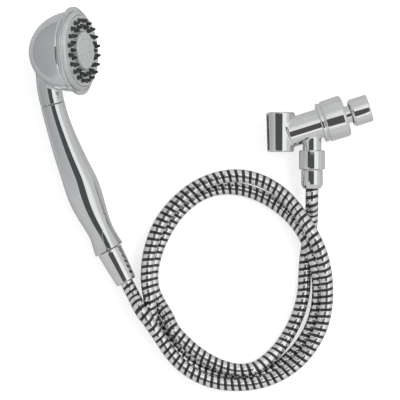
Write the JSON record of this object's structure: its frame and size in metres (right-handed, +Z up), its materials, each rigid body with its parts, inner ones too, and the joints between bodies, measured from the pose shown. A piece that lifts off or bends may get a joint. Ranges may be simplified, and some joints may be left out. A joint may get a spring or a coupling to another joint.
{
  "type": "handheld bath sprayer",
  "caption": "Chrome handheld bath sprayer: round multi-nozzle head with a turning dial on a curved handle, a coiled striped hose, and a shower-arm bracket with a cradle and a ball joint.",
  "frame": {"origin": "on the surface the set lies on, under the middle of the whole set", "axes": "+Z up from that surface, +Y from the coil's bottom towards the spray head, +X from the handset towards the bracket"},
  "size_m": [0.3435, 0.3825, 0.0836],
  "materials": {
    "plated_plastic": "mirror chrome plating on moulded plastic",
    "chrome_metal": "mirror chrome",
    "pale_grey_plastic": "satin pale grey",
    "dark_rubber": "matt",
    "black_rubber": "matt",
    "striped_hose": "silver spiral with black stripes under clear vinyl",
    "white_plastic": "moulded",
    "brass": "turned",
    "steel": "plain"
  },
  "bodies": {
    "hose": {"hose_jacket": "striped_hose", "hose_inner_tube": "black_rubber", "hose_stem_handle": "brass", "hose_stem_bracket": "brass", "hose_sleeve_bracket": "chrome_metal"},
    "handset": {"head_shell": "plated_plastic", "handle_grip": "plated_plastic", "handle_water_tube": "white_plastic", "neck_o_ring": "black_rubber", "handle_thread_end": "brass", "flow_restrictor": "white_plastic", "diverter_plate": "white_plastic", "dial_hub_screw": "steel", "hose_nut_handle": "plated_plastic", "hose_washer_handle": "black_rubber"},
    "spray_dial": {"dial_bezel": "plated_plastic", "face_plate": "pale_grey_plastic", "nozzle_mat": "dark_rubber", "centre_disc": "pale_grey_plastic", "dial_seal": "black_rubber"},
    "bracket": {"bracket_body": "chrome_metal", "collar_nut": "chrome_metal", "ball_washer": "black_rubber", "hose_nut_bracket": "chrome_metal", "hose_washer_bracket": "black_rubber"},
    "ball_cup": {"ball_cup": "white_plastic"},
    "ball_stem": {"ball_stem": "chrome_metal"},
    "arm_nut": {"arm_nut": "chrome_metal", "arm_washer": "black_rubber", "filter_screen": "steel"}
  },
  "joints": [
    {"name": "handset_swivel", "type": "hinge", "parent": "hose", "child": "handset", "pos_m": [-0.07527, -0.08301, 0.01751], "axis": [-0.4678, 0.8837, -0.0156], "continuous": true},
    {"name": "dial_turn", "type": "hinge", "parent": "handset", "child": "spray_dial", "pos_m": [-0.12625, 0.14671, 0.04404], "axis": [0.9128, 0.0483, 0.4055], "range_deg": [-60, 60]},
    {"name": "bracket_swivel", "type": "hinge", "parent": "hose", "child": "bracket", "pos_m": [0.11033, 0.02909, 0.02151], "axis": [0, 1, 0], "continuous": true},
    {"name": "ball_turn", "type": "hinge", "parent": "bracket", "child": "ball_cup", "pos_m": [0.13394, 0.08071, 0.02151], "axis": [0.9537, 0.3007, 0], "continuous": true},
    {"name": "ball_tilt", "type": "hinge", "parent": "ball_cup", "child": "ball_stem", "pos_m": [0.13394, 0.08071, 0.02151], "axis": [0, 0, 1], "range_deg": [-15, 15]},
    {"name": "arm_nut_turn", "type": "hinge", "parent": "ball_stem", "child": "arm_nut", "pos_m": [0.14825, 0.08522, 0.02151], "axis": [0.9537, 0.3007, 0], "continuous": true}
  ]
}
